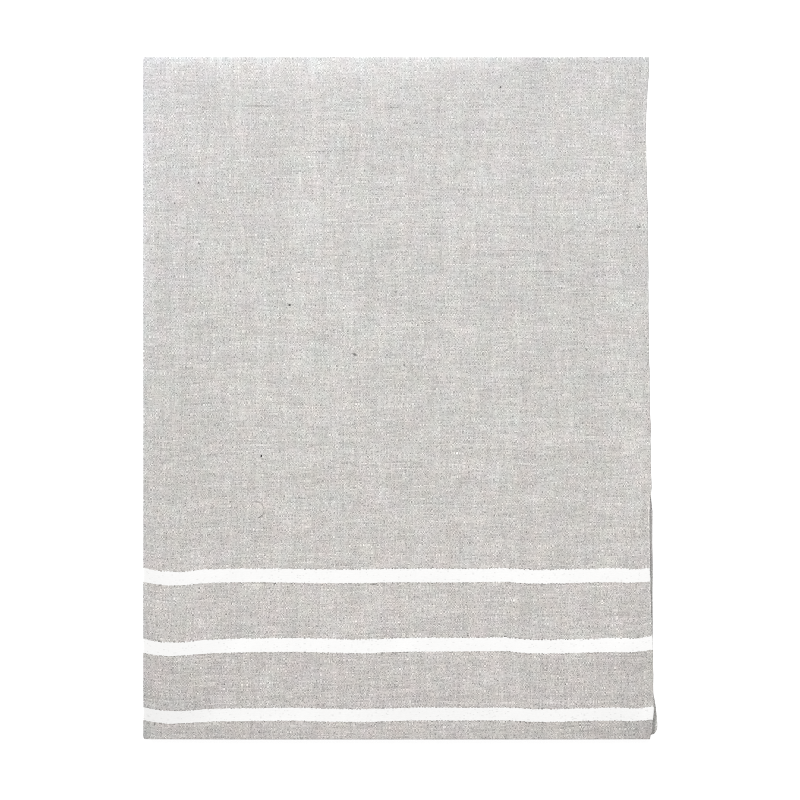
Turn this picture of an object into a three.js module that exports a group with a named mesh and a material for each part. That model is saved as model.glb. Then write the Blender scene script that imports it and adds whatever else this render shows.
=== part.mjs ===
// Linen beach towel, folded: one hemmed length of plain-woven linen, about
// 0.90 m x 1.80 m when it lies open. It is folded in half along its length,
// which makes a double layer with a fold on one side, and that double layer is
// folded back and forth in thirds: the front panel with the striped end on top,
// the middle panel, and the back panel that lies on the table. Six layers in all.
//
// Millimetres, +Z up. The pack lies flat: +X runs across it, from the
// lengthwise fold to the open side edges, and +Y runs along it, from the
// striped end to the upper crosswise fold. The origin is on the table, at the
// middle of the pack's outline.

import * as THREE from "three";

// ---- The cloth and its layers --------------------------------------------
const CLOTH = 1.2;            // thickness of one layer
const GAP = 0.45;             // air between neighbouring layers
const PAIR = 2 * CLOTH + GAP; // the double layer

// ---- The pack -------------------------------------------------------------
const UPPER_FOLD = 303.0;   // y reached by the fold from front to middle panel
const STRIPED_END = -303.0; // y of the hemmed end on top of the front panel
const LOWER_FOLD = -299.6;  // y reached by the fold from middle to back panel
const PLAIN_END = 284.0;    // y of the hemmed end of the back panel
const FOLD_SIDE = -227.9;   // x reached by the lengthwise fold

const UPPER_DROP = 2.6;        // the upper fold sinks this far past the plain end
const UPPER_DROP_FROM = 285.5; // y where it starts to sink
const END_DROOP = 0.6;         // the striped end droops over the lower fold
const END_DROOP_FROM = -298.5; // y where it starts to droop

// ---- How finely the solid is faceted --------------------------------------
const TURN_STEPS = 8;  // facets round a crosswise fold
const BEND_STEPS = 6;  // facets round the lengthwise fold
// Share of a layer's width, from its open edge to the lengthwise fold.
const ACROSS = [0, 0.012, 0.04, 0.1, 0.22, 0.38, 0.55, 0.72, 0.86, 0.95, 0.985, 1];

// ---- Outline of each panel -------------------------------------------------
// y: place along the pack. face and under: x of the open edges of the layer
// with the towel's face out and of the layer folded under it. fold: x of the
// lengthwise fold. skew: how far the under layer is pulled towards +Y at its
// open edge, because it was not folded quite square. Towards the striped end
// the middle panel's upper layer stands out a few millimetres past the front.
const FRONT_PANEL = [
  { y: STRIPED_END, face: 222.2, under: 220.2, fold: -226.4, skew: 1.8 },
  { y: -301.2, face: 222.2, under: 220.8, fold: -227.6, skew: 1.8 },
  { y: -298.8, face: 222.4, under: 221.2, fold: FOLD_SIDE, skew: 1.8 },
  { y: -291.0, face: 223.2, under: 221.8, fold: FOLD_SIDE, skew: 1.7 },
  { y: -283.0, face: 224.2, under: 222.4, fold: FOLD_SIDE, skew: 1.6 },
  { y: -273.0, face: 225.0, under: 222.8, fold: FOLD_SIDE, skew: 1.5 },
  { y: -259.0, face: 224.7, under: 222.6, fold: FOLD_SIDE, skew: 1.4 },
  { y: -223.0, face: 224.4, under: 222.2, fold: FOLD_SIDE, skew: 1.1 },
  { y: -190.0, face: 222.4, under: 221.0, fold: FOLD_SIDE, skew: 0.8 },
  { y: -150.0, face: 221.3, under: 220.1, fold: FOLD_SIDE, skew: 0.5 },
  { y: -98.0, face: 221.6, under: 220.4, fold: FOLD_SIDE, skew: 0.3 },
  { y: -76.0, face: 223.3, under: 221.6, fold: FOLD_SIDE, skew: 0.2 },
  { y: -28.0, face: 222.5, under: 221.4, fold: FOLD_SIDE, skew: 0 },
  { y: 12.0, face: 222.1, under: 221.0, fold: FOLD_SIDE, skew: 0 },
  { y: 72.0, face: 220.9, under: 219.9, fold: FOLD_SIDE, skew: 0 },
  { y: 150.0, face: 220.4, under: 219.2, fold: FOLD_SIDE, skew: 0 },
  { y: 205.0, face: 219.0, under: 217.9, fold: FOLD_SIDE, skew: 0 },
  { y: 236.0, face: 218.1, under: 217.4, fold: FOLD_SIDE, skew: 0 },
  { y: 266.0, face: 219.7, under: 218.6, fold: FOLD_SIDE, skew: 0 },
  { y: 280.0, face: 221.0, under: 219.6, fold: FOLD_SIDE, skew: 0 },
  { y: 288.0, face: 221.6, under: 220.2, fold: FOLD_SIDE, skew: 0 },
  { y: 293.0, face: 221.6, under: 220.4, fold: FOLD_SIDE, skew: 0 },
  { y: 297.0, face: 221.2, under: 220.2, fold: -227.7, skew: 0 },
];
const MIDDLE_PANEL = [
  { y: 297.0, face: 220.4, under: 219.9, fold: -227.5, skew: 0 },
  { y: 292.0, face: 219.6, under: 219.6, fold: -227.6, skew: 0 },
  { y: 286.0, face: 218.8, under: 219.2, fold: -227.7, skew: 0 },
  { y: 276.0, face: 217.6, under: 218.4, fold: -227.6, skew: 0 },
  { y: 220.0, face: 215.4, under: 216.6, fold: -227.2, skew: 0 },
  { y: 110.0, face: 217.8, under: 216.2, fold: -226.9, skew: 0 },
  { y: -20.0, face: 219.8, under: 218.0, fold: -227.1, skew: 0 },
  { y: -80.0, face: 219.4, under: 221.8, fold: -226.8, skew: 0 },
  { y: -98.0, face: 219.0, under: 223.8, fold: -226.7, skew: 0 },
  { y: -150.0, face: 218.6, under: 224.2, fold: -226.6, skew: 0 },
  { y: -223.0, face: 217.2, under: 224.6, fold: -226.4, skew: 0 },
  { y: -259.0, face: 216.4, under: 224.8, fold: -226.3, skew: 0 },
  { y: -273.0, face: 216.4, under: 226.8, fold: -226.4, skew: 0 },
  { y: -283.0, face: 216.5, under: 227.9, fold: -226.5, skew: 0 },
  { y: -292.0, face: 216.6, under: 227.9, fold: -226.6, skew: 0 },
];
const BACK_PANEL = [
  { y: -292.0, face: 216.8, under: 217.0, fold: -226.7, skew: 0 },
  { y: -230.0, face: 218.4, under: 216.4, fold: -226.9, skew: 0 },
  { y: -110.0, face: 220.6, under: 218.6, fold: -227.3, skew: 0 },
  { y: 20.0, face: 219.2, under: 220.4, fold: -227.0, skew: 0 },
  { y: 140.0, face: 217.0, under: 219.0, fold: -226.5, skew: 0 },
  { y: 230.0, face: 215.8, under: 217.2, fold: -226.4, skew: -1.6 },
  { y: 272.0, face: 216.6, under: 216.0, fold: -226.7, skew: -3.0 },
  { y: 280.5, face: 216.6, under: 215.6, fold: -226.6, skew: -3.4 },
  { y: PLAIN_END, face: 215.6, under: 214.2, fold: -224.6, skew: -3.4 },
];

// ---- Soft hollows and swells of the pack ------------------------------------
// x, y: middle; wide, long: reach across and along; sink: share of the height
// that is pressed out there (below zero it swells).
const SOFT_PLACES = [
  { place: "striped end, fold corner", x: -222, y: -296, wide: 60, long: 38, sink: 0.1 },
  { place: "striped end, open corner", x: 224, y: -290, wide: 48, long: 50, sink: 0.12 },
  { place: "upper fold, open corner", x: 222, y: 262, wide: 14, long: 62, sink: 0.14 },
  { place: "along the open side", x: 226, y: -20, wide: 9, long: 190, sink: 0.08 },
  { place: "along the lengthwise fold", x: -231, y: 120, wide: 9, long: 170, sink: 0.09 },
  { place: "swell left of the middle", x: -96, y: 190, wide: 24, long: 130, sink: -0.03 },
  { place: "middle of the pack", x: 40, y: -40, wide: 150, long: 170, sink: 0.05 },
  { place: "lower swell", x: -30, y: -245, wide: 120, long: 40, sink: -0.03 },
];

// ---- Work ----------------------------------------------------------------
const backLevel = PAIR / 2;
const middleLevel = backLevel + PAIR + GAP;
const frontLevel = middleLevel + PAIR + GAP;
const turn = (PAIR + GAP) / 2; // radius of the double layer's middle in a fold
const reach = turn + PAIR / 2; // and of its outer face

const ease = (t) => {
  const s = Math.min(1, Math.max(0, t));
  return s * s * (3 - 2 * s);
};
const mix = (a, b, t) => a + (b - a) * t;

// How far the pack hangs down at y, and the share of its height left at x, y.
function drop(y) {
  return (
    UPPER_DROP * ease((y - UPPER_DROP_FROM) / (UPPER_FOLD - UPPER_DROP_FROM)) +
    END_DROOP * ease((END_DROOP_FROM - y) / (END_DROOP_FROM - STRIPED_END))
  );
}
function height(x, y) {
  let left = 1;
  for (const s of SOFT_PLACES) {
    left -= s.sink * Math.exp(-(((x - s.x) / s.wide) ** 2) - ((y - s.y) / s.long) ** 2);
  }
  return left;
}

// A station is one place along the cloth: the middle of the double layer there
// (y, z), the way its face looks (ny, nz), and its outline.
const stations = [];
const addPanel = (rows, level, up) => {
  for (const row of rows) stations.push({ ...row, z: level, ny: 0, nz: up });
};
// A crosswise fold from the panel at levelA to the one at levelB. side is +1
// where it reaches out along +Y. The face lies outside in the upper fold and
// inside in the lower one.
const addTurn = (from, to, edge, levelA, levelB, side) => {
  for (let i = 0; i <= TURN_STEPS; i++) {
    const t = i / TURN_STEPS;
    const a = Math.PI * (0.5 - t);
    const out = Math.cos(a);
    const rise = Math.sin(a);
    stations.push({
      y: edge - side * reach + side * turn * out,
      z: (levelA + levelB) / 2 + turn * rise,
      ny: out,
      nz: side * rise,
      face: mix(from.face, to.face, t),
      under: mix(from.under, to.under, t),
      fold: mix(from.fold, to.fold, t),
      skew: 0,
    });
  }
};
addPanel(FRONT_PANEL, frontLevel, 1);
addTurn(FRONT_PANEL.at(-1), MIDDLE_PANEL[0], UPPER_FOLD, frontLevel, middleLevel, 1);
addPanel(MIDDLE_PANEL, middleLevel, -1);
addTurn(MIDDLE_PANEL.at(-1), BACK_PANEL[0], LOWER_FOLD, middleLevel, backLevel, -1);
addPanel(BACK_PANEL, backLevel, 1);

// The double layer across a station, as a ribbon from the face layer's open
// edge, round the lengthwise fold, to the under layer's open edge. Each knot
// gives the ribbon's outer and inner skin as x and h, h counted from the middle
// of the double layer towards the face.
function ribbon(station) {
  const bend = station.fold + PAIR / 2;
  const outer = PAIR / 2;
  const inner = GAP / 2;
  const knots = [];
  for (const share of ACROSS) {
    const x = mix(station.face, bend, share);
    knots.push({ out: [x, outer], in: [x, inner], pull: 0 });
  }
  for (let i = 1; i < BEND_STEPS; i++) {
    const a = Math.PI * (0.5 + i / BEND_STEPS);
    knots.push({
      out: [bend + outer * Math.cos(a), outer * Math.sin(a)],
      in: [bend + inner * Math.cos(a), inner * Math.sin(a)],
      pull: 0,
    });
  }
  for (const share of [...ACROSS].reverse()) {
    const x = mix(station.under, bend, share);
    knots.push({ out: [x, -outer], in: [x, -inner], pull: (1 - share) * station.skew });
  }
  return knots;
}

function place(station, [x, h], pull) {
  const y = station.y + h * station.ny + pull;
  const z = station.z + h * station.nz;
  return [x, y, (z - drop(y)) * height(x, y)];
}

function buildCloth() {
  const points = [];
  const faces = [];
  const rings = stations.map((station) => {
    const knots = ribbon(station);
    const loop = [];
    for (const k of knots) loop.push(place(station, k.out, k.pull));
    for (const k of [...knots].reverse()) loop.push(place(station, k.in, k.pull));
    return loop;
  });
  const count = rings[0].length;
  for (const ring of rings) points.push(...ring);
  const at = (s, k) => s * count + ((k + count) % count);
  const quad = (a, b, c, d) => faces.push(a, b, c, a, c, d);
  for (let s = 0; s + 1 < rings.length; s++) {
    for (let k = 0; k < count; k++) quad(at(s, k), at(s + 1, k), at(s + 1, k + 1), at(s, k + 1));
  }
  // The two cut ends: strips between the outer and the inner skin.
  const last = rings.length - 1;
  for (let k = 0; k + 1 < count / 2; k++) {
    quad(at(0, k), at(0, k + 1), at(0, count - 2 - k), at(0, count - 1 - k));
    quad(at(last, k), at(last, count - 1 - k), at(last, count - 2 - k), at(last, k + 1));
  }
  const geometry = new THREE.BufferGeometry();
  geometry.setAttribute("position", new THREE.Float32BufferAttribute(points.flat(), 3));
  geometry.setIndex(faces);
  geometry.computeVertexNormals();
  return geometry;
}

const linen = new THREE.MeshStandardMaterial({ color: 0xcfccc8, roughness: 0.95, metalness: 0 });
const towel = new THREE.Mesh(buildCloth(), linen);
towel.name = "towel";

const part = new THREE.Group();
part.add(towel);

export default part;
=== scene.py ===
import math

import bpy
import numpy as np
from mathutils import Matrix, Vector


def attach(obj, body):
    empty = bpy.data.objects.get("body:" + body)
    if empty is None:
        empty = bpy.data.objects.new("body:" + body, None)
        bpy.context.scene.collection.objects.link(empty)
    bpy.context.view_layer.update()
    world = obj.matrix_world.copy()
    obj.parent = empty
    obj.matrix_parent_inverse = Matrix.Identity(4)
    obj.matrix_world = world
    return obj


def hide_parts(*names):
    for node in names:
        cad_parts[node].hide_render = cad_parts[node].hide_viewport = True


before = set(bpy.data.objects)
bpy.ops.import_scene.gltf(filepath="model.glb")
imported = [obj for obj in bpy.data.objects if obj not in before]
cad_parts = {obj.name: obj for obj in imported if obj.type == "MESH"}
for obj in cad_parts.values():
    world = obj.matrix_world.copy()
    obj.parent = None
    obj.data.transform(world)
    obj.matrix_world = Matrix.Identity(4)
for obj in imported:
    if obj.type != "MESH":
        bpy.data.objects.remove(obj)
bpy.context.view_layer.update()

MM = 0.001

# ---------------------------------------------------------------------------
# The folded towel, in millimetres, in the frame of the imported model:
# +X across to the open side edges, +Y along to the upper fold, +Z up.
# ---------------------------------------------------------------------------
CLOTH = 1.2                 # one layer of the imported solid, and the air above it
GAP = 0.45
PAIR = 2 * CLOTH + GAP
LINEN = 0.62                # the real cloth, which lies on the middle of that layer
SKIN = LINEN / 2
HALF = (CLOTH + GAP) / 2    # from the middle of the double layer to the middle of a layer

UPPER_FOLD = 303.0
STRIPED_END = -303.0
LOWER_FOLD = -299.6
PLAIN_END = 284.0
FOLD_SIDE = -227.9

HEM = 13.0                  # how far an end is turned under
HEM_TURN = 0.33             # radius of the turned cloth's middle

BACK_LEVEL = PAIR / 2
MIDDLE_LEVEL = BACK_LEVEL + PAIR + GAP
FRONT_LEVEL = MIDDLE_LEVEL + PAIR + GAP
TURN = (PAIR + GAP) / 2
REACH = TURN + HALF + SKIN
SETTLE = BACK_LEVEL - HALF - SKIN - 0.02   # brings the lowest skin down to the surface

# Outline of each panel: y, then x of the open edge of the layer with the face
# out, of the layer under it, and of the lengthwise fold, and how far the under
# layer is pulled towards +Y at its open edge. Towards the striped end the middle
# panel's upper layer stands out a few millimetres past the front.
FRONT_PANEL = [
    # y      face   under   fold    skew
    (-303.0, 222.2, 220.2, -226.8, 1.8),
    (-301.2, 222.4, 220.8, -227.8, 1.8),
    (-298.8, 222.7, 221.2, -228.1, 1.8),
    (-295.4, 224.0, 221.6, -228.1, 1.7),
    (-290.0, 224.6, 221.9, -228.0, 1.7),
    (-283.0, 224.9, 222.4, -227.9, 1.6),
    (-273.0, 225.6, 222.8, -227.8, 1.5),
    (-259.0, 225.1, 222.6, -227.85, 1.4),
    (-223.0, 224.8, 222.2, -227.9, 1.1),
    (-190.0, 223.3, 221.0, -227.9, 0.8),
    (-150.0, 222.2, 220.1, -227.8, 0.5),
    (-98.0, 221.75, 220.2, -227.75, 0.3),
    (-76.0, 223.4, 221.6, -227.75, 0.2),
    (-28.0, 222.5, 221.1, -227.8, 0.0),
    (12.0, 221.8, 220.5, -227.85, 0.0),
    (72.0, 220.9, 219.6, -227.95, 0.0),
    (150.0, 220.1, 218.8, -228.0, 0.0),
    (205.0, 219.1, 217.8, -228.05, 0.0),
    (236.0, 218.6, 217.3, -228.15, 0.0),
    (266.0, 219.5, 218.3, -228.25, 0.0),
    (280.0, 220.6, 219.4, -228.3, 0.0),
    (288.0, 221.2, 220.0, -228.3, 0.0),
    (293.0, 221.3, 220.2, -228.3, 0.0),
    (300.2, 221.3, 220.0, -228.1, 0.0),
]
MIDDLE_PANEL = [
    (300.2, 220.4, 219.9, -227.5, 0.0),
    (292.0, 219.6, 219.6, -227.6, 0.0),
    (286.0, 218.8, 219.2, -227.7, 0.0),
    (276.0, 217.6, 218.4, -227.6, 0.0),
    (220.0, 215.4, 216.6, -227.2, 0.0),
    (110.0, 217.8, 216.2, -226.9, 0.0),
    (-20.0, 219.8, 218.0, -227.1, 0.0),
    (-80.0, 219.4, 222.2, -226.8, 0.0),
    (-98.0, 219.0, 224.5, -226.7, 0.0),
    (-150.0, 218.6, 224.8, -226.6, 0.0),
    (-223.0, 217.2, 224.8, -226.4, 0.0),
    (-252.0, 216.6, 224.9, -226.3, 0.0),
    (-261.0, 216.5, 225.2, -226.3, 0.0),
    (-266.0, 216.4, 226.2, -226.4, 0.0),
    (-273.0, 216.4, 227.9, -226.4, 0.0),
    (-283.0, 216.5, 228.8, -226.5, 0.0),
    (-292.4, 216.6, 228.9, -226.6, 0.0),
    (-294.6, 216.6, 228.6, -226.6, 0.0),
    (-296.8, 216.6, 227.2, -226.6, 0.0),
]
BACK_PANEL = [
    (-296.8, 216.8, 218.6, -226.7, 0.0),
    (-284.0, 217.2, 217.7, -226.8, 0.0),
    (-230.0, 218.4, 216.4, -226.9, 0.0),
    (-110.0, 220.6, 218.6, -227.3, 0.0),
    (20.0, 219.2, 220.4, -227.0, 0.0),
    (140.0, 217.0, 219.0, -226.5, 0.0),
    (230.0, 215.8, 217.2, -226.4, -1.6),
    (272.0, 216.6, 216.0, -226.7, -3.0),
    (280.5, 216.6, 215.6, -226.6, -3.4),
    (284.0, 215.6, 214.2, -224.6, -3.4),
]

# Soft hollows and swells of the whole pack: middle, reach across and along,
# and the share of the height that is pressed out (below zero it swells).
SOFT_PLACES = [
    # x       y       wide   long   sink
    (-222.0, -296.0, 60.0, 38.0, 0.12),    # striped end, fold corner
    (224.0, -290.0, 48.0, 50.0, 0.13),     # striped end, open corner
    (222.0, 262.0, 14.0, 62.0, 0.14),      # upper fold, open corner
    (226.0, -20.0, 9.0, 190.0, 0.08),      # along the open side
    (-231.0, 150.0, 8.0, 130.0, 0.15),     # along the lengthwise fold
    (40.0, -40.0, 150.0, 170.0, 0.05),     # middle of the pack
    (-30.0, -245.0, 120.0, 40.0, -0.03),   # lower swell
    (-80.0, 305.0, 135.0, 11.0, 0.17),     # upper fold, left and middle
]

# Creases and swells of the front alone, in millimetres of height.
FRONT_CREASES = [
    # x       y       wide   long   rise
    (-96.0, 178.0, 7.0, 105.0, -0.22),     # old crease, left of the middle
    (-78.0, 190.0, 26.0, 120.0, 0.30),
    (207.0, 232.0, 6.0, 62.0, -0.22),      # along the open side, by the upper fold
    (30.0, 96.0, 60.0, 22.0, 0.25),
    (118.0, 20.0, 46.0, 30.0, -0.22),
    (-150.0, 20.0, 40.0, 60.0, -0.20),
    (-40.0, -60.0, 48.0, 40.0, 0.22),
    (150.0, -120.0, 40.0, 52.0, 0.20),
    (-10.0, -140.0, 36.0, 26.0, -0.24),
    (224.0, -286.0, 8.0, 20.0, 0.90),      # the top layer lifts at its free corner
    (222.0, -150.0, 5.0, 48.0, 0.25),      # and along its edge
]


def smooth(t):
    t = np.clip(t, 0.0, 1.0)
    return t * t * (3 - 2 * t)


def curve(rows, column, at):
    """A smooth line through one column of a table, whose first column is where."""
    at = np.asarray(at, float)
    xs = np.array([r[0] for r in rows], float)
    ys = np.array([r[column] for r in rows], float)
    if xs[0] > xs[-1]:
        xs, ys = xs[::-1], ys[::-1]
    d = np.diff(ys) / np.diff(xs)
    m = np.concatenate([[d[0]], np.where(d[1:] * d[:-1] > 0, 2 * d[1:] * d[:-1] / (d[1:] + d[:-1] + 1e-12), 0), [d[-1]]])
    k = np.clip(np.searchsorted(xs, at) - 1, 0, len(xs) - 2)
    h = xs[k + 1] - xs[k]
    t = np.clip((at - xs[k]) / h, 0, 1)
    return (
        (2 * t**3 - 3 * t**2 + 1) * ys[k]
        + (t**3 - 2 * t**2 + t) * h * m[k]
        + (-2 * t**3 + 3 * t**2) * ys[k + 1]
        + (t**3 - t**2) * h * m[k + 1]
    )


def ripple(seed, x, y, longest, shortest, count=14):
    """Soft, seeded unevenness from about -1 to 1 in x and y, as a sum of waves."""
    rng = np.random.default_rng(seed)
    total = np.zeros(np.broadcast(x, y).shape)
    for _ in range(count):
        length = math.exp(rng.uniform(math.log(shortest), math.log(longest)))
        way = rng.uniform(0, math.tau)
        start = rng.uniform(0, math.tau)
        total = total + np.sin(math.tau * (x * math.cos(way) + y * math.sin(way)) / length + start)
    return total / math.sqrt(count) * 1.1


# ---------------------------------------------------------------------------
# Stations along the cloth. Each has the middle of the double layer (y, z), the
# way its face looks (n), the way along the cloth (t), its outline, how far it
# is from the striped end, and how far round a hem it is turned.
# ---------------------------------------------------------------------------
stations = []


def station(y, z, n, t, rows, where, along, hem=0.0, end=0, loose=1.0):
    face, under, fold, skew = (float(curve(rows, c, where)) for c in (1, 2, 3, 4))
    stations.append(
        dict(y=y, z=z, n=n, t=t, face=face, under=under, fold=fold, skew=skew,
             along=along, hem=hem, end=end, loose=loose)
    )


def steps(a, b, size):
    return np.linspace(a, b, max(2, int(round(abs(b - a) / size)) + 1))


fine = 5.0
length_front = UPPER_FOLD - REACH - STRIPED_END
arc = math.pi * TURN
length_middle = (UPPER_FOLD - REACH) - (LOWER_FOLD + REACH)
length_back = PLAIN_END - (LOWER_FOLD + REACH)

# Turned hem of the striped end, from its inner edge out to the end.
for d in (HEM, HEM - 0.4, HEM * 0.75, HEM * 0.5, HEM * 0.25, 2.0, HEM_TURN + SKIN + 0.5):
    station(STRIPED_END + d, FRONT_LEVEL, (0, 1), (1, 0), FRONT_PANEL, STRIPED_END + d, d, math.pi, 1)
for k in range(6):
    turned = math.pi * (1 - k / 6)
    where = STRIPED_END + HEM_TURN + SKIN
    station(where, FRONT_LEVEL, (0, 1), (1, 0), FRONT_PANEL, STRIPED_END + 0.4, 0.3, turned, 1)
front_ys = np.unique(np.concatenate([
    STRIPED_END + np.array([HEM_TURN + SKIN, 1.5, 2.6, 4.2, 6.5, 9.5]),
    steps(STRIPED_END + 12.5, 262.0, fine),
    steps(262.0, 296.0, 3.0),
    [298.2, UPPER_FOLD - REACH],
]))
for y in front_ys:
    station(y, FRONT_LEVEL, (0, 1), (1, 0), FRONT_PANEL, y, y - STRIPED_END)
for k in range(1, 12):
    a = math.pi * (0.5 - k / 12)
    out, rise = math.cos(a), math.sin(a)
    rows = FRONT_PANEL if k < 6 else MIDDLE_PANEL
    station(UPPER_FOLD - REACH + TURN * out, (FRONT_LEVEL + MIDDLE_LEVEL) / 2 + TURN * rise,
            (out, rise), (rise, -out), rows, 300.2, length_front + arc * k / 12, loose=0.35)
for y in np.unique(np.concatenate([
    [UPPER_FOLD - REACH, 297.0, 293.0, 288.0, 282.0],
    steps(274.0, -240.0, 14.0),
    steps(-247.0, -289.0, 7.0),
    [-292.4, -294.6, LOWER_FOLD + REACH],
]))[::-1]:
    station(y, MIDDLE_LEVEL, (0, -1), (-1, 0), MIDDLE_PANEL, y, length_front + arc + (UPPER_FOLD - REACH - y))
for k in range(1, 12):
    a = math.pi * (0.5 - k / 12)
    out, rise = math.cos(a), math.sin(a)
    rows = MIDDLE_PANEL if k < 6 else BACK_PANEL
    station(LOWER_FOLD + REACH - TURN * out, (MIDDLE_LEVEL + BACK_LEVEL) / 2 + TURN * rise,
            (out, -rise), (-rise, -out), rows, -296.8, length_front + arc + length_middle + arc * k / 12, loose=0.35)
    # The corner of the outer layer is drawn in as it goes round.
    stations[-1]["under"] = 227.2 - 8.6 * float(smooth(k / 9))
so_far = length_front + 2 * arc + length_middle
for y in np.unique(np.concatenate([
    [LOWER_FOLD + REACH, -290.0],
    steps(-282.0, 264.0, 14.0),
    PLAIN_END - np.array([14.0, 9.0, 5.0, 2.2, HEM_TURN + SKIN]),
])):
    station(y, BACK_LEVEL, (0, 1), (1, 0), BACK_PANEL, y, so_far + y - LOWER_FOLD - REACH)
for k in range(1, 7):
    turned = math.pi * k / 6
    station(PLAIN_END - HEM_TURN - SKIN, BACK_LEVEL, (0, 1), (1, 0), BACK_PANEL, PLAIN_END - 0.4,
            so_far + length_back - 0.3, turned, -1)
for d in (2.0, HEM * 0.25, HEM * 0.5, HEM * 0.75, HEM - 0.4, HEM):
    station(PLAIN_END - d, BACK_LEVEL, (0, 1), (1, 0), BACK_PANEL, PLAIN_END - d, so_far + length_back - d, math.pi, -1)

# The lower fold's face lies inside, so its way of looking runs the other way
# round from the upper fold's. (Written out above as (out, -rise).)

# ---------------------------------------------------------------------------
# Across a station: from the face layer's open edge, round the lengthwise fold,
# to the under layer's open edge.
# ---------------------------------------------------------------------------
wide = 449.0
near_edge = np.array([0.0, 0.5, 1.3, 2.8, 5.2, 8.5, 12.5])
near_fold = np.array([11.0, 7.0, 4.2, 2.2, 0.9, 0.0])
face_cols = np.concatenate([near_edge, steps(17.0, wide - 16.0, fine), wide - near_fold]) / wide
under_cols = np.concatenate([near_edge, steps(22.0, wide - 18.0, 11.0), wide - near_fold]) / wide
bend_angles = np.pi * (0.5 + np.arange(1, 8) / 8)
n_face, n_bend, n_under = len(face_cols), len(bend_angles), len(under_cols)
columns = n_face + n_bend + n_under

S = stations
n_rows = len(S)
col = lambda name: np.array([s[name] for s in S], float)[:, None]
Y, Z, FACE, UNDER, FOLD, SKEW = (col(k) for k in ("y", "z", "face", "under", "fold", "skew"))
ALONG, HEMMED, END, LOOSE = (col(k) for k in ("along", "hem", "end", "loose"))
N = np.array([s["n"] for s in S], float)
T = np.array([s["t"] for s in S], float)

# Fine waviness of the open edges, a thread or two.
FACE = FACE + 0.22 * ripple(11, ALONG, 0 * ALONG, 60, 14) * smooth((ALONG - 3) / 10)
UNDER = UNDER + 0.22 * ripple(12, ALONG, 0 * ALONG, 60, 14) * smooth((ALONG - 6) / 10)

bend = FOLD + HALF + SKIN
rim_in = 0.24
x_face = (FACE - rim_in) + (bend - FACE + rim_in) * face_cols[None, :]
x_under = ((UNDER - rim_in) + (bend - UNDER + rim_in) * under_cols[None, :])[:, ::-1]
ones = np.ones_like(Y)
X = np.concatenate([x_face, bend + HALF * np.cos(bend_angles)[None, :], x_under], 1)
H = np.concatenate([HALF * np.ones_like(x_face), ones * HALF * np.sin(bend_angles)[None, :], -HALF * np.ones_like(x_under)], 1)
EX = np.concatenate([0 * x_face, ones * np.cos(bend_angles)[None, :], 0 * x_under], 1)
EH = np.concatenate([0 * x_face + 1, ones * np.sin(bend_angles)[None, :], 0 * x_under - 1], 1)
SHARE = np.concatenate([ones * (1 - face_cols[None, :]), 0 * ones * bend_angles[None, :], (ones * (1 - under_cols[None, :]))[:, ::-1]], 1)
IS_UNDER = np.concatenate([0 * x_face, ones * ((bend_angles[None, :] - math.pi / 2) / math.pi), 0 * x_under + 1], 1)
# Distance across the cloth from the lengthwise fold, below zero on the face layer.
U = np.concatenate([
    -(x_face - bend) - HALF * math.pi / 2,
    ones * HALF * (bend_angles[None, :] - math.pi),
    (x_under - bend) + HALF * math.pi / 2,
], 1)
U[:, :n_face] = -((x_face - bend) + HALF * math.pi / 2)

# The layers don't lie evenly: the air between them comes and goes, most at the
# open side. The back panel's lowest layer stays on the surface.
unrest = 0.34 * (
    (1 - IS_UNDER) * ripple(21, X * 0.6, ALONG, 260, 60)
    + IS_UNDER * ripple(22, X * 0.6, ALONG, 240, 55)
)
unrest = np.clip(unrest, -0.42, 0.42) * smooth((1 - np.abs(1 - SHARE)) * 4 + 0.15) * LOOSE
on_table = ((ALONG > so_far - 0.01) * IS_UNDER) > 0.01
settling = smooth((ALONG - so_far + arc) / (arc * 0.6))
unrest = np.where(on_table, 0, unrest * (1 - IS_UNDER * settling))
hemmed_zone = smooth(1 - (ALONG - HEM) / 10) + smooth(1 - (so_far + length_back - ALONG - HEM) / 10)
unrest = unrest * (1 - np.clip(hemmed_zone, 0, 1) * 0.8)
HH = H + np.sign(H) * unrest * np.abs(EH)

lift_y = SKEW * SHARE * IS_UNDER


def upper_drop(x, y):
    """The upper fold rolls down past the plain end, over a wider band on the left."""
    right = smooth((x + 5) / 110)
    start = 276.0 + 19.5 * right
    t = np.clip((y - start) / (UPPER_FOLD - start), 0, 1)
    return (3.05 - 2.5 * right) * t**2


def pressed(x, y):
    left = np.ones(np.broadcast(x, y).shape)
    for sx, sy, wide_, long_, sink in SOFT_PLACES:
        left = left - sink * np.exp(-(((x - sx) / wide_) ** 2) - ((y - sy) / long_) ** 2)
    return left


def relief(x, y):
    """Soft creases of the front's top layer, in millimetres."""
    up = 0.0
    for sx, sy, wide_, long_, rise in FRONT_CREASES:
        up = up + rise * np.exp(-(((x - sx) / wide_) ** 2) - ((y - sy) / long_) ** 2)
    up = up + 0.13 * ripple(31, x, y, 90, 34, 26) + 0.035 * ripple(32, x, y, 30, 14, 30)
    return up


def squared(across_, up, power):
    """Turn a round fold into a pressed one: flat for longer, then sharply down."""
    size = np.hypot(across_, up) + 1e-9
    c, s = np.abs(across_) / size, np.abs(up) / size
    return (c**power + s**power) ** (-1 / power)


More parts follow.
